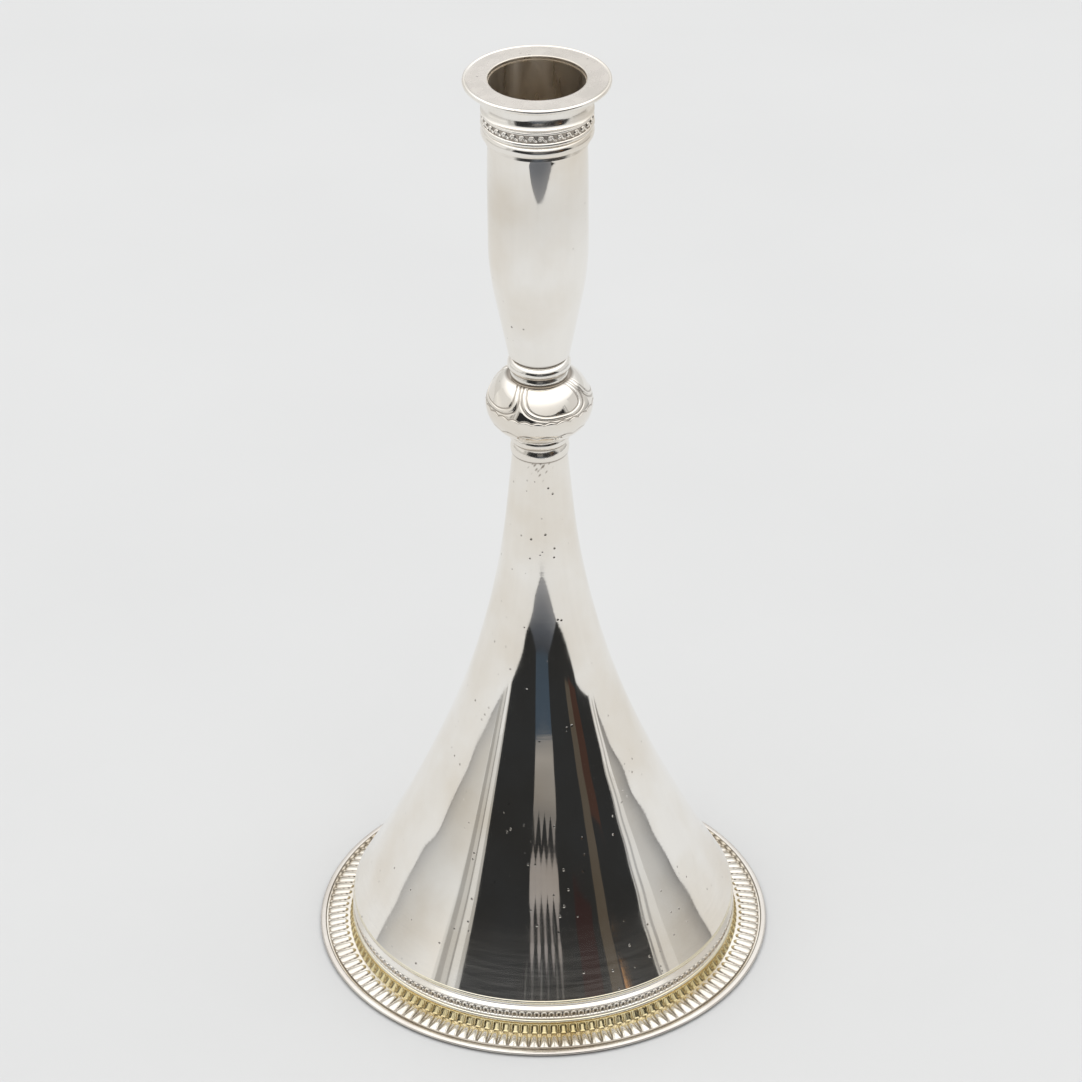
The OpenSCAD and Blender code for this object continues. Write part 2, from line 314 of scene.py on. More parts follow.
def scratches(nodes, links, scale, size, share, turn):
    """Short straight scratches: specks drawn out along one slanting direction."""
    coords = nodes.new("ShaderNodeTexCoord")
    slant = nodes.new("ShaderNodeMapping")
    slant.inputs["Rotation"].default_value = turn
    stretch = nodes.new("ShaderNodeMapping")
    stretch.inputs["Scale"].default_value = (1, 1, 0.07)
    links.new(coords.outputs["Object"], slant.inputs["Vector"])
    links.new(slant.outputs["Vector"], stretch.inputs["Vector"])
    return specks(nodes, links, stretch.outputs["Vector"], scale, size, 0.4, share)


def blemishes(nodes, links, wear):
    """Where the surface is pitted, in clusters, or scratched."""
    cluster = ramp(nodes, links, noise(nodes, links, 45, 2), [(0.50, grey(0)), (0.58, grey(wear))])
    pitted = mix(nodes, links, 1.0, pits(nodes, links, 420, 0.15, 0.47), cluster, "MULTIPLY")
    lines = mix(nodes, links, 1.0, scratches(nodes, links, 400, 0.05, 0.36, (0.5, 0.7, 0.2)),
                scratches(nodes, links, 300, 0.035, 0.36, (-0.9, 0.3, 0.8)), "LIGHTEN")
    scratched = mix(nodes, links, 1.0, lines, grey(0.42 * wear), "MULTIPLY")
    return mix(nodes, links, 1.0, pitted, scratched, "LIGHTEN")


def bump(nodes, links, height, strength, distance, under=None, invert=False):
    """The normal of a bump, laid over the normal of another one; distance in metres."""
    node = nodes.new("ShaderNodeBump")
    node.inputs["Strength"].default_value = strength
    node.inputs["Distance"].default_value = distance
    node.invert = invert
    links.new(height, node.inputs["Height"])
    if under:
        links.new(under, node.inputs["Normal"])
    return node.outputs["Normal"]


def metal(name, bright, dull, shade_and_tarnish, rough, scratch=0.05, wear=1.0, wave=0.0):
    """Worn metal: two tones, painted shade and tarnish where the mesh marks them, uneven gloss, scratches
    and pits.
    """
    material, nodes, links, shader = new_material(name)
    patches = ramp(nodes, links, noise(nodes, links, 38, 5), [(0.38, grey(0)), (0.70, grey(1))])
    tone = mix(nodes, links, patches, bright, dull)
    marks = blemishes(nodes, links, wear)
    tone = mix(nodes, links, marks, tone, tuple(c * 0.30 for c in dull))
    # Painted shade and tarnish: the tone goes towards the dark colour where the mesh attribute marks them.
    depth = nodes.new("ShaderNodeAttribute")
    depth.attribute_name = "shade_and_tarnish"
    tone = mix(nodes, links, depth.outputs["Fac"], tone, shade_and_tarnish)
    links.new(tone, shader.inputs["Base Color"])
    shader.inputs["Metallic"].default_value = 1
    streaks = noise(nodes, links, 300, 6, (1, 1, 0.2))
    gloss = ramp(nodes, links, streaks, [(0.3, grey(rough * 0.6)), (0.75, grey(rough * 1.6))])
    links.new(gloss, shader.inputs["Roughness"])
    normal = bump(nodes, links, noise(nodes, links, 1100, 4, (0.06, 0.06, 1)), scratch, 0.00003)
    normal = bump(nodes, links, marks, 0.5, 0.00008, normal, invert=True)
    if wave:
        normal = bump(nodes, links, noise(nodes, links, 70, 2), wave, 0.0002, normal)
    links.new(normal, shader.inputs["Normal"])
    return material


def brushed(material, low, high, amount):
    """Fine strokes round the foot of a polished piece, strongest at low and gone at high, in mm:
    they scatter a little light over what the metal mirrors."""
    nodes, links = material.node_tree.nodes, material.node_tree.links
    coords = nodes.new("ShaderNodeTexCoord")
    height = nodes.new("ShaderNodeSeparateXYZ")
    links.new(coords.outputs["Object"], height.inputs["Vector"])
    near = ramp(nodes, links, height.outputs["Z"], [(low * MM, grey(1)), (high * MM, grey(0))])
    strokes = noise(nodes, links, 1500, 3, (0.05, 0.05, 1))
    strokes = ramp(nodes, links, strokes, [(0.35, grey(0.35)), (0.65, grey(1))])
    share = mix(nodes, links, 1.0, near, strokes, "MULTIPLY")
    metallic = ramp(nodes, links, share, [(0.0, grey(1)), (1.0, grey(1 - amount))])
    links.new(metallic, nodes["Principled BSDF"].inputs["Metallic"])
    return material


SILVER = (0.935, 0.91, 0.865)
SILVER_DULL = (0.82, 0.755, 0.66)
# The dark silver colour of painted shade and tarnish.
SILVER_SHADE_AND_TARNISH = (0.17, 0.135, 0.10)
polished = metal("polished_silver", SILVER, SILVER_DULL, SILVER_SHADE_AND_TARNISH, 0.045, wave=0.02)
bell_silver = brushed(metal("bell_silver", SILVER, SILVER_DULL, SILVER_SHADE_AND_TARNISH, 0.045, wave=0.02),
                      low=12, high=28, amount=0.065)
moulded = metal("moulded_silver", SILVER, SILVER_DULL, SILVER_SHADE_AND_TARNISH, 0.15, wear=0.4)
satin = metal("satin_silver", (0.74, 0.70, 0.655), (0.66, 0.62, 0.57), SILVER_SHADE_AND_TARNISH, 0.26, wear=0.5)
warm = metal("warm_silver", (0.81, 0.775, 0.71), (0.67, 0.615, 0.53), SILVER_SHADE_AND_TARNISH, 0.15, wear=0.3)
worn = metal("worn_silver", (0.73, 0.70, 0.655), (0.57, 0.52, 0.47), (0.15, 0.13, 0.11), 0.17, wear=0.6)
gilt = metal("gilding", (0.86, 0.75, 0.46), (0.74, 0.60, 0.30), (0.17, 0.11, 0.04), 0.10, wear=0.3)
pale_gilt = metal("pale_gilding", (0.88, 0.84, 0.72), (0.84, 0.77, 0.58), (0.30, 0.23, 0.13), 0.12, wear=0.3)
tarnish = metal("brown_tarnish", (0.80, 0.74, 0.655), (0.68, 0.615, 0.53), (0.18, 0.15, 0.12), 0.34,
                scratch=0.2, wear=0.1)
steel = metal("plated_steel", (0.62, 0.63, 0.65), (0.50, 0.50, 0.52), (0.12, 0.12, 0.12), 0.22, scratch=0.2)


# ---------------------------------------------------------------- drip pan and its rings

def drip_pan():
    """A flat ring with a proud lip: satin on top, brown in its mouth and bright on the lip."""
    outer, low, high = span("drip_pan")
    high -= 0.03                    # room for the uneven surface
    hole, lip_w, dish = 11.35, 0.9, 0.15
    top = high - dish
    outline = soften([(hole, low), (outer - 0.25, low), (outer, low + 0.3), (outer, high - 0.3),
                      (outer - 0.3, high), (outer - lip_w + 0.25, high), (outer - lip_w, top),
                      (hole, top)], 0.28, 5)
    uneven = waviness(0.05, 3, 60)

    def spun(angle, r, z):
        rings = 0.004 * np.sin(r * 9) * bump_between(r, hole + 0.6, outer - lip_w - 0.2, 0.3)
        return rings * (z > top - 0.05) + uneven(angle, r), 0 * r
    piece = turned("drip_pan_dish", dense(outline, 0.35), 256, spun)
    add(piece, "drip_pan", satin)
    piece.data.materials.append(tarnish)
    piece.data.materials.append(moulded)
    color_where(piece, 1, lambda radius, z, inward, up: (radius < hole + 0.2) & inward)
    color_where(piece, 2, lambda radius, z, inward, up: radius > outer - lip_w)


def neck_cove():
    """A deep cove under the pan, round at its foot and shallower above."""
    _, low, high = span("neck_cove_ring")
    foot, radius, foot_radius, turn, thinnest = 13.1, 4.1, 2.2, 21.5, 0.25
    deep = (tube_r + thinnest + radius, low + 0.4 * (high - low))
    reach = radius - foot_radius
    lean = math.radians(turn)
    near = (deep[0] - reach * math.cos(lean), deep[1] - reach * math.sin(lean))
    foot_turn = math.degrees(math.acos((near[0] - foot) / foot_radius))
    top_turn = math.degrees(math.asin(0.6 * (high - low) / radius))
    outline = [(tube_r, low), (foot, low)] + arc(near, foot_radius, 180 + foot_turn, 181 + turn, 12)
    outline += arc(deep, radius, 180 + turn, 180 - top_turn, 40) + [(tube_r, high)]
    piece = turned("neck_cove", outline, 256, uneven_outside(tube_r + 0.1, 0.05, 41, 20))
    add(piece, "neck_cove_ring", moulded)


def bead_ring(name, node, material, seed):
    """A wire round the tube or the base: flat behind, rounded in front."""
    outer, low, high = span(node)
    on_base = low < stack_top
    inner = backing_r if on_base else tube_r
    tall = high - low
    swell = min(tall / 2, 0.8 * (outer - inner))
    radius = (swell ** 2 + tall ** 2 / 4) / (2 * swell)
    half = math.degrees(math.asin(min(1, tall / 2 / radius)))
    front = arc((outer - radius, (low + high) / 2), radius, -half, half, 16)
    outline = [(inner, low)] + front + [(inner, high)]
    segments = 384 if on_base else 192
    piece = turned(name, outline, segments, uneven_outside(inner + 0.05, 0.035, seed, 40))
    add(piece, node, material)


def torus_ring():
    """An oval bead above a thin sleeve."""
    outer, low, high = span("collar_torus_ring")
    bulge, half_height, sleeve = 1.1, 1.5, tube_r + 0.35
    bead = oval(outer - bulge, high - half_height - 0.05, bulge, half_height)
    outline = [(tube_r, low), (sleeve, low)] + bead + [(outer - bulge, high), (tube_r, high)]
    piece = turned("collar_torus", outline, 256, uneven_outside(sleeve, 0.04, 42, 20))
    add(piece, "collar_torus_ring", moulded)


# One wave of the frieze, in widths and heights of one repeat: it rises and curls over
WAVE_LINE = [(-0.52, 0.16), (-0.30, 0.22), (-0.14, 0.45), (-0.02, 0.74), (0.14, 0.84),
             (0.30, 0.72), (0.34, 0.50), (0.22, 0.36), (0.12, 0.46)]


def distance_to_line(x, y, line):
    """Shortest distance from each point to a chain of straight stretches."""
    best = np.full(np.broadcast(x, y).shape, 1e9)
    for (ax, ay), (bx, by) in zip(line[:-1], line[1:]):
        dx, dy = bx - ax, by - ay
        t = np.clip(((x - ax) * dx + (y - ay) * dy) / (dx * dx + dy * dy), 0, 1)
        best = np.minimum(best, np.hypot(x - ax - t * dx, y - ay - t * dy))
    return best


def wave_frieze():
    """Raised running waves on a ground darkened with tarnish and painted shade."""
    outer, low, high = span("wave_frieze_band")
    face = outer - 0.32
    tall = high - low
    pitch = TAU * face / wave_count

    def relief(angle, r, z):
        along = (angle * wave_count / TAU) % 1 - 0.5
        x = -along * pitch
        y = (z - low) * np.ones_like(along)
        line = [(px * pitch, py * tall) for px, py in WAVE_LINE]
        tail = [(px - pitch, py) for px, py in line]
        near = np.minimum(distance_to_line(x, y, line), distance_to_line(x, y, tail))
        raised = np.sqrt(groove(near, 0.27))
        front = (r > face - 0.02) * 1.0
        # The ground between the waves gets tarnish and painted shade.
        return 0.30 * raised * front, (1 - np.clip(raised * 1.4, 0, 1)) * front * 0.72
    outline = dense(box_outline(tube_r, face, low, high), 0.075)
    piece = turned("wave_frieze", outline, wave_count * 28, relief, 60)
    add(piece, "wave_frieze_band", moulded)


# ---------------------------------------------------------------- socket

def candle_socket():
    """A straight tube that bends softly into a taper: polished outside, brown in its bore."""
    outer, low, high = span("candle_socket")
    floor_z, rings_z = span("candle_cup_floor")[2], span("collar_torus_ring")[1]
    foot_r, bend_r, taper_h = 7.45, 75, 22.7
    ledge_w, lower_wall = 0.3, 0.9
    draw_h = 12                     # the tube is drawn in slightly over this height
    turn = math.atan2(outer - foot_r, taper_h)
    reach = bend_r * math.tan(turn / 2)
    bend = [(outer - bend_r * (1 - math.cos(a)), low + taper_h + reach - bend_r * math.sin(a))
            for a in np.linspace(turn, 0, 24)]
    outside = [(foot_r, low)] + bend + [(outer, high)]
    ledge_r = bore_r - ledge_w
    inside = [(bore_r, high), (bore_r, floor_z), (ledge_r, floor_z), (ledge_r, bend[-1][1])]
    inside += [(r - lower_wall, z) for r, z in reversed(bend)] + [(foot_r - lower_wall, low)]
    uneven = waviness(0.06, 11, 55)

    def relief(angle, r, z):
        draw_in = -0.26 * np.clip((z - rings_z) / draw_h + 1, 0, 1) ** 2 * (z < rings_z + 0.5)
        scored = -0.05 * groove(z - (high - 6.5), 0.35) * (r < bore_r + 0.1)
        # The bore is darker around 4 mm above the cup floor, most on its front-left side.
        bore_darkening = 0.11 * np.exp(-((z - floor_z - 4) / 10) ** 2) * (0.75 - 0.25 * np.sin(angle + 0.35))
        waves = uneven(angle, z) * 0.6 * (z < rings_z - 0.5)
        return waves + draw_in * (r > bore_r + 0.3) + scored, bore_darkening
    piece = turned("candle_socket_tube", dense(outside + inside, 0.6), 256, relief)
    add(piece, "candle_socket", polished)
    piece.data.materials.append(tarnish)
    color_where(piece, 1, lambda radius, z, inward, up:
                inward & (radius < bore_r + 0.2) & (z > bend[0][1]) | (up > 0.9) & (z > high - 0.5))


def cup_floor():
    """The disc that closes the bore, slightly dished."""
    outer, low, high = span("candle_cup_floor")
    outline = soften([(0.02, low), (outer, low), (outer, high), (1.2, high - 0.12), (0.02, high - 0.2)], 0.1)
    piece = turned("cup_floor_disc", outline, 96)
    add(piece, "candle_cup_floor", tarnish)


# ---------------------------------------------------------------- knop and collars

def collar(name, node, outline):
    """A turned collar from the points up its outside. Its creases get painted shade, up to its flange."""
    _, low, high = span(node)
    closed = [(spacer_r, low)] + outline + [(spacer_r, high)]
    points = np.array(outline)
    along_r, along_z = np.diff(points, axis=0).T
    turns = np.abs(np.diff(np.unwrap(np.arctan2(along_z, along_r))))
    creases = [point for point, turn in zip(points[1:], turns)
               if turn > math.radians(25) and point[1] < high - 1.2] + [points[0]]
    uneven = waviness(0.05, len(name), 12)

    def relief(angle, r, z):
        near = np.min([np.hypot(r - c[0], z - c[1]) for c in creases], axis=0)
        # Painted shade along the creases and at the collar's foot.
        dark = np.clip(1.15 - near / 0.32, 0, 1) * (r > 4)
        return uneven(angle, z) * (r > 6.3), dark * np.ones_like(angle)
    piece = turned(name, dense(closed, 0.3), 192, relief, 60)
    add(piece, node, moulded)


def upper_collar():
    """A band half sunk into the knop, a round bead, and a thin flange under the socket."""
    _, low, high = span("upper_knop_collar")
    tall = high - low
    band_h, band_r = 0.066 * tall, 2.7
    sunk = math.degrees(math.asin(band_h / band_r))
    outline = crest(7.0, low + band_h, band_r, -sunk, 27)
    outline += crest(7.58, low + 0.5 * tall, 1.8, -44, 70)
    outline += [(6.42, high - 0.8), (7.25, high - 0.4), (7.25, high)]
    collar("upper_collar", "upper_knop_collar", outline)


def lower_collar():
    """A flattened band on the bell under a rounder bead."""
    _, low, high = span("lower_knop_collar")
    tall = high - low
    band_h, band_r = 0.172 * tall, 3.95
    sunk = math.degrees(math.asin(band_h / band_r))
    outline = crest(neck_r + 0.5, low + band_h, band_r, -sunk, 34)
    outline += crest(7.43, low + 0.774 * tall, 1.6, -50, 48)
    collar("lower_collar", "lower_knop_collar", outline + [(6.62, high)])


def knop_cuts(angle, r, z, middle, reach):
    """Shift, from 1 (cut) to -1 (raised), of the chasing on the knop: four lobed panels
    in a raised double outline, a row of scallops under them, and a scalloped line with
    curls near the lower collar."""
    up = np.arcsin(np.clip((z - middle) / reach, -1, 1)) * reach   # mm from the widest ring
    quarter = (angle * 4 / TAU + 0.22 + 0.012 * up) % 1 - 0.5
    across = quarter * TAU / 4 * r                                 # mm from the panel's middle
    half = TAU / 8 * r - 0.35
    tall_mid, tall_half = 7.5, 6.1
    lobe = (np.abs(across / half) ** 3.2 + np.abs((up - tall_mid) / tall_half) ** 3.2) ** (1 / 3.2)
    inside = (1 - lobe) * np.minimum(half, tall_half) + 0.03 * np.sin(up * 2 + across)
    upper = (up > 0.15) & (r > knop_flat_r + 0.1)
    cuts = np.maximum(groove(inside, 0.27), groove(inside - 1.05, 0.22)) * upper
    ridge = groove(inside - 0.55, 0.34) * upper
    scallop = up - 0.55 - 0.5 * np.abs(np.sin(angle * 13 + 0.4))
    cuts = np.maximum(cuts, groove(scallop, 0.26) * (np.abs(up - 0.7) < 1.2))
    low_line = up + 4.3 - 0.9 * np.abs(np.sin(angle * 8 + 0.5))
    cuts = np.maximum(cuts, groove(low_line, 0.28) * (up < -2.4))
    eighth = ((angle * 8 / TAU) % 1 - 0.5) * TAU / 8 * r
    curl = np.abs(np.hypot(eighth, up + 4.9) - 0.8)
    cuts = np.maximum(cuts, groove(curl, 0.26) * ((eighth < 0.35) | (up > -4.8)) * (up < -3))
    return cuts - 0.5 * ridge * (cuts < 0.05)


def knop_half(name, node, upper):
    """Half of the hollow knop, an arc with a flat end; the upper half is slightly squashed."""
    outer, low, high = span(node)
    middle = low if upper else high
    half_h = high - low
    wall = 0.6
    reach = outer - knop_flat_r
    nose = (reach ** 2 + half_h ** 2) / (2 * reach)
    center = (outer - nose, middle)
    top_turn = math.degrees(math.asin(half_h / nose))
    sign = 1 if upper else -1
    skin = arc(center, nose, 0, sign * top_turn, 150)
    lining_top = half_h - wall
    lining_turn = math.degrees(math.asin(min(1, lining_top / (nose - wall))))
    lining = arc(center, nose - wall, sign * lining_turn, 0, 30)
    tip = middle + sign * half_h
    inner_tip = middle + sign * lining_top
    outline = skin + [(spacer_r, tip), (spacer_r, inner_tip)] + lining
    if not upper:
        outline = outline[::-1]

    def relief(angle, r, z):
        outside = r > knop_flat_r - 0.4
        on_skin = (np.hypot(r - center[0], z - middle) > nose - 0.05) & outside
        depth = knop_cuts(angle, r, z, middle, nose) * on_skin
        # Painted shade on the flat end, where a collar sits.
        joint_shade = np.clip((np.abs(z - middle) - half_h + 0.35) / 0.3, 0, 1) * outside
        share = np.clip(sign * (z - middle) / half_h, 0, 1)
        squash = 0.35 * (1 - np.cos(TAU * share)) / 2 * on_skin * (sign > 0)
        # The chased cuts are darkened with tarnish and painted shade.
        return -0.17 * depth - squash, np.maximum(0.6 * np.clip(depth, 0, 1), 0.8 * joint_shade)
    piece = turned(name, outline, 840, relief, 60)
    add(piece, node, polished)


# ---------------------------------------------------------------- bell

def bell_curve(steps):
    """The bell's outline is one cubic curve, from its edge up to its neck."""
    edge_r, low, high = span("bell")
    tall = high - low
    points = [(edge_r, low), (8.8, low + 0.525 * tall), (9.3, low + 0.822 * tall), (neck_r, high)]
    return cubic(points, steps)


# Shallow dents in the bell: direction in degrees, height and depth in mm
DENTS = [(-50, 80, 0.10), (-25, 50, 0.10), (-20, 28, 0.06), (-125, 84, 0.05), (-150, 40, 0.06),
         (-95, 118, 0.05)]


def dent(angle, r, z, azimuth, height, depth):
    """Depth of one dent. It falls to a third 3.5 mm to either side and 5 mm up or down."""
    across = turn_from(angle, azimuth) * r
    return depth * np.exp(-((across / 3.5) ** 2 + ((z - height) / 5.0) ** 2))


def bell():
    """The trumpet-shaped foot: slightly uneven and dented, stained at the front of its neck, with painted
    shade at its top where the collar sits.
    """
    outside = bell_curve(280)
    inside = [(r - bell_wall, z) for r, z in reversed(outside[::4])]
    uneven, ripple = waviness(0.2, 5, 95), waviness(0.03, 6, 24)
    neck_z = outside[-1][1]

    def relief(angle, r, z):
        hold = np.clip((z - stack_top) / 12, 0, 1) * np.clip((neck_z - z) / 25, 0, 1)
        dents = sum(dent(angle, r, z, *place) for place in DENTS)
        front = turn_from(angle, -90) * r
        speckle = np.sin(front * 3.1 + 1.7 * z) + np.sin(z * 3.3 - 2 * front) + np.sin(front * 6 - z * 5)
        stain = np.clip(0.5 + speckle * 0.6 - 0.4 * np.abs(front) - 0.3 * (neck_z - z), 0, 1)
        # Painted shade at the top of the neck, where the lower collar sits.
        joint_shade = np.clip((z - neck_z + 0.4) / 0.3, 0, 1)
        shift = (uneven(angle, z) + ripple(angle, z)) * hold - dents
        return shift, np.maximum(stain * (z > neck_z - 5.5) * 0.8, joint_shade * 0.8)
    piece = turned("bell_shell", outside + inside, 420, relief)
    add(piece, "bell", bell_silver)


def bell_bush():
    """The drilled plug in the bell's neck, chamfered at its bore."""
    _, low, high = span("bell_neck_bush")
    wall = [(r - bell_wall, z) for r, z in bell_curve(24)[-3:]]
    chamfer = 0.4
    outline = wall + [(stud_hole_r + chamfer, high), (stud_hole_r, high - chamfer),
                      (stud_hole_r, low + chamfer), (stud_hole_r + chamfer, low)]
    piece = turned("bell_bush", outline, 96)
    add(piece, "bell_neck_bush", tarnish)


# ---------------------------------------------------------------- base

def arcade():
    """A gallery wire: round arches on legs along a raised sill."""
    outer, low, high = span("arcade_band")
    ground = outer - 0.5
    tall = high - low
    pitch = TAU * outer / arch_count
    spring, radius, leg = low + 0.63 * tall, 0.30 * pitch, 0.30
    sill = low + 0.14 * tall

    def relief(angle, r, z):
        x = ((angle * arch_count / TAU) % 1 - 0.5) * pitch
        bow = np.abs(np.hypot(x, z - spring) - radius)
        legs = np.abs(np.abs(x) - radius)
        near = np.where(z > spring, bow, legs)
        raised = np.sqrt(groove(near, leg)) * (z > sill + 0.42)
        raised = np.maximum(raised, np.sqrt(groove(z - sill, 0.36)))
        raised = raised * bump_between(z, low, high, 0.06)
        front = (r > ground - 0.02) * 1.0
        # The ground between the arches gets tarnish and painted shade.
        return 0.48 * raised * front, (1 - np.clip(raised * 1.8, 0, 1)) * front * 0.62
    outline = dense(box_outline(backing_r, ground, low, high), 0.11)
    piece = turned("arcade", outline, arch_count * 16, relief, 60)
    add(piece, "arcade_band", moulded)


def base_fillet():
    """A bright sloping shoulder under the bell's edge."""
    outer, low, high = span("base_fillet_band")
    top_r = backing_r + 0.05
    outline = [(backing_r, low), (outer, low), (outer, low + 0.35), (top_r, low + 1.22),
               (top_r, high), (backing_r, high)]
    relief = uneven_outside(backing_r + 0.04, 0.03, 34, 40)
    piece = turned("base_fillet", soften(outline, 0.2, 5), 384, relief)
    add(piece, "base_fillet_band", moulded)


def gilt_flutes():
    """Upright flutes under a plain lip, hollowed deeper towards the top, with painted shade on their walls,
    partings and foot.
    """
    outer, low, high = span("gilt_flute_band")
    top_r = outer - 0.85
    slope = (outer - top_r) / (high - low)

    def relief(angle, r, z):
        along = np.abs(((angle * flute_count / TAU) % 1 - 0.5) * 2)
        under_lip = np.clip((high - 0.3 - z) / 0.2, 0, 1)
        hollow = np.sqrt(np.clip(1 - (along / 0.62) ** 4, 0, 1)) * under_lip
        deep = 0.10 + 0.75 * (z - low) / (high - low)
        parting = groove(along - 1, 0.14) * under_lip
        wall = np.exp(-((along - 0.64) / 0.07) ** 2) * under_lip
        foot = np.clip(1 - (z - low) / 0.3, 0, 1)
        face = outer - (z - low) * slope
        front = (r > face - 0.05) * 1.0
        # Painted shade on the flutes' walls, partings and foot.
        dark = np.clip(0.55 * wall + 0.5 * parting + 0.25 * foot, 0, 0.8)
        return (-deep * hollow - 0.2 * parting) * front, dark * front
    outline = dense([(backing_r, low), (outer, low), (top_r, high), (backing_r, high)], 0.16)
    piece = turned("gilt_flutes", outline, flute_count * 16, relief, 50)
    add(piece, "gilt_flute_band", gilt)


def tongue_border():
    """A ring of rounded tongues, wider towards the rim and falling away at their tips, on a
    plate that slopes down from the foot of the gilt band."""
    outer, low, high = span("tongue_border")
    foot_r, foot_z, _ = span("gilt_flute_band")
    start, stop = foot_r + 0.6, outer - 0.5
    head_l, tail_l = 0.8, 1.15          # lengths of a tongue's round ends
    head, tail, fall_from = start + head_l, stop - tail_l, start + 0.9
    plate = high - 0.92

    def relief(angle, r, z):
        pitch = TAU * r / flute_count
        x = np.abs((angle * flute_count / TAU) % 1 - 0.5) * pitch
        half = pitch * (0.30 + 0.17 * np.clip((r - start) / (stop - start), 0, 1))
        beyond = np.clip(head - r, 0, None) / head_l + np.clip(r - tail, 0, None) / tail_l
        away = np.hypot(x / half, beyond)
        crest_h = 1 - 0.88 * np.clip((r - fall_from) / (stop - fall_from), 0, 1) ** 1.1
        dome = np.sqrt(np.clip(1 - away ** 2, 0, 1)) * crest_h
        # Painted shade round the edge of each tongue.
        outline_shade = np.exp(-((away - 1.0) / 0.17) ** 2)
        on_top = (z > high - 0.03) * (r < stop + 0.1)
        share = np.clip((r - foot_r) / (stop - foot_r), 0, 1)
        sunk = (high - foot_z) * (1 - share) + (high - plate) * share
        return -sunk * (1 - dome) * on_top, 0.8 * outline_shade * on_top
    outline = [(backing_r, low), (outer, low), (outer, plate), (stop + 0.25, plate),
               (stop + 0.1, high - 0.02), (stop + 0.05, high), (backing_r, high)]
    piece = turned("tongues", dense(outline, 0.14), flute_count * 20, relief, 55)
    add(piece, "tongue_border", warm)


def rim():
    """The outer wire: nearly flat on top, rounded outside, with painted shade where it meets the table and
    along its inner top edge.
    """
    outer, low, high = span("rim_wire")
    inner = span("foot_ring")[0]
    nose_r = 0.55
    nose = arc((outer - nose_r, low + 0.72), nose_r, -50, 80, 12)
    outline = [(inner, low), (outer - nose_r, low)] + nose + [(inner + 0.3, high), (inner, high - 0.3)]
    uneven = waviness(0.05, 21, 50)

    def relief(angle, r, z):
        outside = r > inner + 0.4
        # Painted shade low on the outside and along the inner top edge.
        shade = np.clip((low + 0.8 - z) / 0.35, 0, 1) * outside
        joint_shade = np.clip(1 - (r - inner) / 0.3, 0, 1) * (z > high - 0.4)
        return (uneven(angle, z) - 0.03) * outside, np.maximum(shade, joint_shade) * np.ones_like(angle)
    piece = turned("rim", soften(outline, 0.1, 2), 512, relief)
    add(piece, "rim_wire", worn)


def plain_ring(name, node, inner, material, edge=0.15):
    """A flat ring with softened edges."""
    outer, low, high = span(node)
    piece = turned(name, soften(box_outline(inner, outer, low, high), edge, 3), 256)
    add(piece, node, material)


# ---------------------------------------------------------------- tie rod

def stud():
    """A threaded rod."""
    outer, low, high = span("stem_stud")
    pitch, depth = 0.7, 0.28

    def thread(angle, r, z):
        turn = ((z - low) / pitch - angle / TAU) % 1
        cut = np.abs(turn - 0.5) * 2
        side = (r > outer - 0.02) * bump_between(z, low + 0.4, high - 0.2, 0.4)
        # The thread's grooves are darkened by their depth: painted shade.
        return -depth * cut * side, 0.5 * cut * side
    outline = dense([(0.02, low), (outer - 0.4, low), (outer, low + 0.4), (outer, high), (0.02, high)], 0.1)
    piece = turned("threaded_stud", outline, 48, thread, 70)
    add(piece, "stem_stud", steel)


def nut():
    """A hexagonal nut, chamfered at its corners and its bore."""
    _, low, high = span("stem_nut")
    flats, bore = 7.0, 2.0
    corner = flats / 2 / math.cos(math.pi / 6)
    outline = dense([(bore + 0.3, low), (flats / 2, low), (corner, low + 0.45), (corner, high - 0.45),
                     (flats / 2, high), (bore + 0.3, high), (bore, high - 0.3), (bore, low + 0.3)], 0.3)

    def six_sides(angle, r, z):
        bearing = (angle + math.pi / 6) % (math.pi / 3) - math.pi / 6
        edge = flats / 2 / np.cos(bearing)
        return np.minimum(0, edge - r) * ((z > low + 0.3) & (z < high - 0.3) | (r > edge)), 0 * r
    piece = turned("hex_nut", outline, 144, six_sides, 25)
    add(piece, "stem_nut", steel)


# ---------------------------------------------------------------- build

drip_pan()
neck_cove()
bead_ring("upper_wire", "upper_frieze_wire", moulded, 31)
wave_frieze()
bead_ring("lower_wire", "lower_frieze_wire", moulded, 32)
torus_ring()
candle_socket()
cup_floor()
upper_collar()
knop_half("knop_top", "knop_upper_half", True)
knop_half("knop_bottom", "knop_lower_half", False)
lower_collar()
bell()
bell_bush()
bead_ring("edge_wire", "bell_edge_wire", pale_gilt, 33)
base_fillet()
arcade()
bead_ring("step_wire", "plain_step_ring", pale_gilt, 35)
gilt_flutes()
tongue_border()
rim()
plain_ring("backing", "base_backing_band", backing_r - backing_t, tarnish)
plain_ring("foot", "foot_ring", foot_inner_r, moulded, 0.2)
stud()
nut()
plain_ring("washer", "stem_washer", stud_hole_r, steel)
# The two pieces that can't be seen keep their CAD shapes
for node, material in (("socket_boss", tarnish), ("knop_spacer_tube", steel)):
    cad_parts[node].data.materials[0] = material


# ---------------------------------------------------------------- stage, light and camera

FLOOR_LOW = (0.60, 0.603, 0.603)
FLOOR_HIGH = (0.615, 0.618, 0.618)
SKY_STRENGTH = 1.0
CAMERA_PLACE = (0.11, -859.95, 664.99)
CAMERA_PITCH, CAMERA_ROLL = 32.619, -0.4325     # degrees below the level, and about the line of sight
CAMERA_LENS = 139.39                            # mm, for a sensor 36 mm wide


def stage_mesh(name, verts, faces, material):
    mesh = bpy.data.meshes.new(name)
    mesh.from_pydata([tuple(c * MM for c in v) for v in verts], [], faces)
    mesh.materials.append(material)
    thing = bpy.data.objects.new(name, mesh)
    bpy.context.collection.objects.link(thing)
    return thing


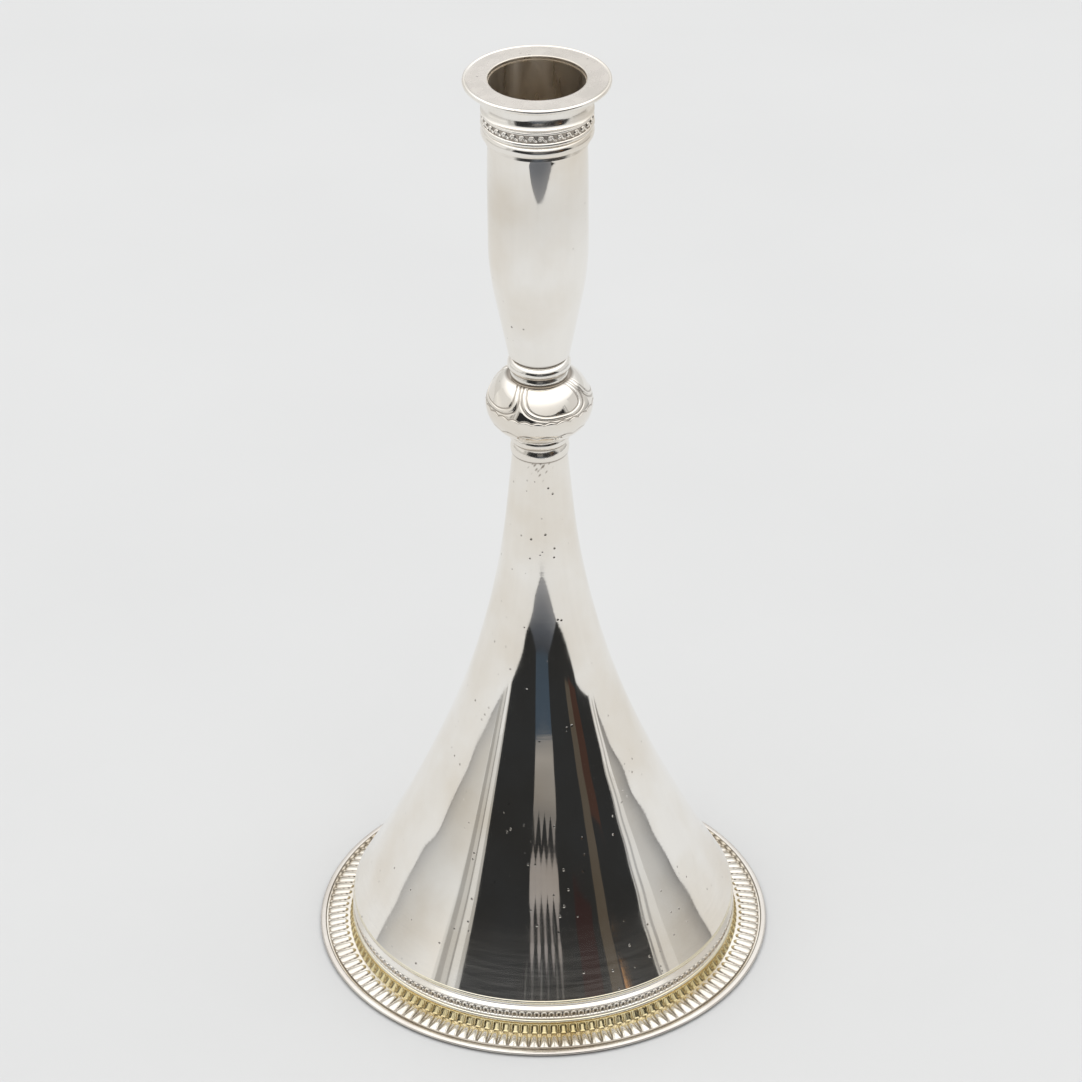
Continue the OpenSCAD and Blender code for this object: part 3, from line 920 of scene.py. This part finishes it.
def glow(name, color):
    """A material that only gives light."""
    material = bpy.data.materials.new(name)
    material.use_nodes = True
    nodes, links = material.node_tree.nodes, material.node_tree.links
    nodes.remove(nodes["Principled BSDF"])
    emit = nodes.new("ShaderNodeEmission")
    emit.inputs["Color"].default_value = (*color, 1)
    links.new(emit.outputs["Emission"], nodes["Material Output"].inputs["Surface"])
    return material


def only_reflected(thing):
    """A studio flag that shows in polished metal but lights and shades nothing."""
    thing.visible_camera = False
    thing.visible_diffuse = False
    thing.visible_transmission = False
    thing.visible_volume_scatter = False
    thing.visible_shadow = False


def floor():
    """A wide white table top, faintly mottled."""
    material, nodes, links, shader = new_material("white_table")
    mottle = ramp(nodes, links, noise(nodes, links, 9, 3), [(0.3, FLOOR_LOW), (0.7, FLOOR_HIGH)])
    links.new(mottle, shader.inputs["Base Color"])
    shader.inputs["Roughness"].default_value = 0.9
    shader.inputs["Specular IOR Level"].default_value = 0.1
    reach = 6000
    corners = [(-reach, -reach, 0), (reach, -reach, 0), (reach, reach, 0), (-reach, reach, 0)]
    stage_mesh("floor", corners, [(0, 1, 2, 3)], material)


def warm_grey(tone):
    return (tone, tone * 0.99, tone * 0.96)


def bearing(azimuth, distance, z):
    """A point this far from the axis; azimuth 0 is towards the camera, + to the right."""
    a = math.radians(azimuth)
    return (distance * math.sin(a), -distance * math.cos(a), z)


def upright(name, low_span, high_span, distance, low, high, material):
    """A standing flag on a circle round the object. Its azimuths at the foot and at the top
    may differ, and low and high are its heights."""
    steps = max(1, int((low_span[1] - low_span[0]) / 4))
    verts, faces = [], []
    for i in range(steps + 1):
        t = i / steps
        verts.append(bearing(low_span[0] + (low_span[1] - low_span[0]) * t, distance, low))
        verts.append(bearing(high_span[0] + (high_span[1] - high_span[0]) * t, distance, high))
    for i in range(steps):
        faces.append((2 * i, 2 * i + 2, 2 * i + 3, 2 * i + 1))
    only_reflected(stage_mesh(name, verts, faces, material))


def comb(name, azimuths, distance, low, high, teeth, tip_low, tip_high, material):
    """A flag whose lower and upper borders run in points."""
    count = 2 * teeth
    verts, faces = [], []
    for i in range(count + 1):
        azimuth = azimuths[0] + (azimuths[1] - azimuths[0]) * i / count
        out = i % 2
        verts.append(bearing(azimuth, distance, low - tip_low * out))
        verts.append(bearing(azimuth, distance, high + tip_high * out))
    for i in range(count):
        faces.append((2 * i, 2 * i + 2, 2 * i + 3, 2 * i + 1))
    only_reflected(stage_mesh(name, verts, faces, material))


def graded(name, axis, stops):
    """A glow whose colour runs along an axis of the object, by distance in metres."""
    material = glow(name, grey(0.5))
    nodes, links = material.node_tree.nodes, material.node_tree.links
    coords = nodes.new("ShaderNodeTexCoord")
    turn = nodes.new("ShaderNodeMapping")
    turn.inputs["Scale"].default_value = axis
    split = nodes.new("ShaderNodeSeparateXYZ")
    links.new(coords.outputs["Object"], turn.inputs["Vector"])
    links.new(turn.outputs["Vector"], split.inputs["Vector"])
    along = "Z" if axis[2] else "Y"
    emit = next(n for n in nodes if n.type == "EMISSION")
    links.new(ramp(nodes, links, split.outputs[along], stops), emit.inputs["Color"])
    return material


ROOM_R = 900          # distance of the far side of the unlit room
GROUND = 0.4          # flags start just above the table
WALL_TOP = 490        # top of the far side of the room
# The front edge of the table, from left to right
TABLE_EDGE = ((-500, -575), (-375, -590), (-240, -540), (-120, -460), (-10, -424), (85, -424),
              (161, -437), (263, -447), (409, -395), (546, -368), (850, -470))


def dark_room():
    """The unlit room in front of the table: its floor, its far side and what stands there."""
    night = glow("dark_room", (0.027, 0.028, 0.029))
    left, right = -50, 72
    front = [bearing(left, ROOM_R, GROUND)] + [(x, y, GROUND) for x, y in TABLE_EDGE]
    back = [bearing(a, ROOM_R, GROUND) for a in range(right, left, -6)]
    outline = front + back
    only_reflected(stage_mesh("dark_floor", outline, [tuple(range(len(outline)))], night))
    upright("dark_far_side", (left, right), (-44.3, 54.4), ROOM_R, GROUND, WALL_TOP, night)
    floor_sheen(GROUND + 0.5)
    near = ROOM_R - 20
    cloth = glow("blue_cloth", (0.052, 0.072, 0.098))
    upright("blue_cloth", (-9, 12), (-9, 12), near, 0.9, 108, cloth)
    pale_strip(near)
    post, shelf = glow("brown_post", (0.092, 0.078, 0.062)), glow("red_shelf", (0.036, 0.022, 0.022))
    chair, lamp = glow("red_chair", (0.058, 0.033, 0.026)), glow("lamp", (0.62, 0.32, 0.12))
    upright("brown_post", (38, 45), (37, 43), near, 20, WALL_TOP, post)
    upright("red_chair", (44, 55), (43, 52), near + 5, 6, 150, chair)
    upright("red_shelf", (23, 34), (22, 32), near + 5, 250, 330, shelf)
    upright("lamp", (45, 49.5), (46, 48.5), near, 258, 312, lamp)


def floor_sheen(level):
    """A paler streak on the room's floor that darkens away from the table."""
    sheen = graded("floor_sheen", (1, -1, 0), [(0.42, (0.30, 0.305, 0.32)), (0.50, (0.17, 0.18, 0.20)),
                                               (0.62, (0.09, 0.10, 0.12)), (0.90, (0.04, 0.045, 0.055))])
    outline = [(x, y - 2, level) for x, y in TABLE_EDGE[2:8]]
    outline += [bearing(12.4, ROOM_R, level), bearing(-7, ROOM_R, level)]
    only_reflected(stage_mesh("floor_sheen", outline, [tuple(range(len(outline)))], sheen))


def pale_strip(distance):
    """A pale hanging above the cloth: two combs, and thin threads over them."""
    pale = graded("pale_strip", (0, 0, 1), [(0.10, (0.22, 0.21, 0.20)), (0.14, (0.32, 0.30, 0.275)),
                                            (0.20, (0.19, 0.18, 0.17)), (0.23, (0.24, 0.225, 0.22)),
                                            (0.27, (0.35, 0.33, 0.32)), (0.32, (0.17, 0.155, 0.16))])
    comb("pale_strip_low", (-8.5, 12.4), distance, 108, 198, 4, 0, 30, pale)
    comb("pale_strip_high", (-9.5, 12.4), distance, 256, 270, 5, 24, 42, pale)
    for i, azimuth in enumerate((-11, -7, -2, 2, 7, 10)):
        thread = glow(f"pale_thread_{i}", grey(0.07 + 0.02 * (i % 3)))
        foot, top = (azimuth, azimuth + 1.1), (azimuth, azimuth + 0.5)
        upright(f"pale_thread_{i}", foot, top, distance, 300, 430, thread)


def folds(side, distance, places):
    """Narrow grey folds, each from its azimuths at the foot, at the top, and its tone."""
    for foot, top, tone in places:
        name = f"{side}_fold_{int(abs(foot[0]))}"
        upright(name, foot, top, distance, GROUND, WALL_TOP, glow(name, tone))


def side_walls():
    """Light walls at both sides, greyer towards the floor, with folds next to the dark room."""
    left = graded("left_wall", (0, 0, 1), [(0.0, grey(0.34)), (0.012, grey(0.46)),
                                           (0.05, (0.58, 0.575, 0.56)), (0.15, (0.74, 0.74, 0.73)),
                                           (0.24, (0.92, 0.92, 0.91)), (0.33, (0.80, 0.80, 0.79))])
    upright("left_wall", (-118, -64), (-118, -62), ROOM_R, GROUND, 610, left)
    folds("left", ROOM_R, [((-64, -60), (-58, -55.5), warm_grey(0.40)),
                           ((-60, -56.5), (-55.5, -53), warm_grey(0.58)),
                           ((-56.5, -55.3), (-53, -52), warm_grey(0.33)),
                           ((-51.4, -50), (-47.6, -44.3), warm_grey(0.45))])
    right = graded("right_wall", (0, 0, 1), [(0.0, grey(0.22)), (0.014, grey(0.34)),
                                             (0.05, (0.50, 0.495, 0.485)), (0.12, (0.62, 0.615, 0.60)),
                                             (0.25, (0.72, 0.71, 0.70))])
    upright("right_wall", (79, 124), (72, 124), ROOM_R - 180, GROUND, 550, right)
    folds("right", ROOM_R - 60, [((72, 73), (54.4, 56), grey(0.30)),
                                 ((75.5, 76.8), (58, 60.5), grey(0.42))])


def sky():
    """Soft white light from all sides, brighter overhead."""
    world = bpy.data.worlds.new("studio")
    bpy.context.scene.world = world
    world.use_nodes = True
    nodes, links = world.node_tree.nodes, world.node_tree.links
    coords = nodes.new("ShaderNodeTexCoord")
    height = nodes.new("ShaderNodeSeparateXYZ")
    links.new(coords.outputs["Generated"], height.inputs["Vector"])
    tone = ramp(nodes, links, height.outputs["Z"], [(0.0, (0.70, 0.70, 0.69)), (0.30, (0.72, 0.72, 0.71)),
                                                    (0.50, (1.0, 1.0, 1.0)), (0.75, (1.6, 1.6, 1.6))])
    links.new(tone, nodes["Background"].inputs["Color"])
    nodes["Background"].inputs["Strength"].default_value = SKY_STRENGTH


def camera():
    """A long lens in front of the object and above it, looking down at its middle."""
    data = bpy.data.cameras.new("camera")
    data.sensor_width = 36
    data.lens = CAMERA_LENS
    data.clip_start = 0.01
    view = bpy.data.objects.new("camera", data)
    bpy.context.collection.objects.link(view)
    pitch, roll = math.radians(CAMERA_PITCH), math.radians(CAMERA_ROLL)
    forward = Vector((0, math.cos(pitch), -math.sin(pitch)))
    right = Vector((1, 0, 0))
    up = right.cross(forward)
    side = right * math.cos(roll) + up * math.sin(roll)
    top = up * math.cos(roll) - right * math.sin(roll)
    turn = Matrix((side, top, -forward)).transposed().to_4x4()
    turn.translation = Vector(CAMERA_PLACE) * MM
    view.matrix_world = turn
    bpy.context.scene.camera = view


floor()
dark_room()
side_walls()
sky()
camera()
bpy.context.scene.view_settings.view_transform = "Standard"
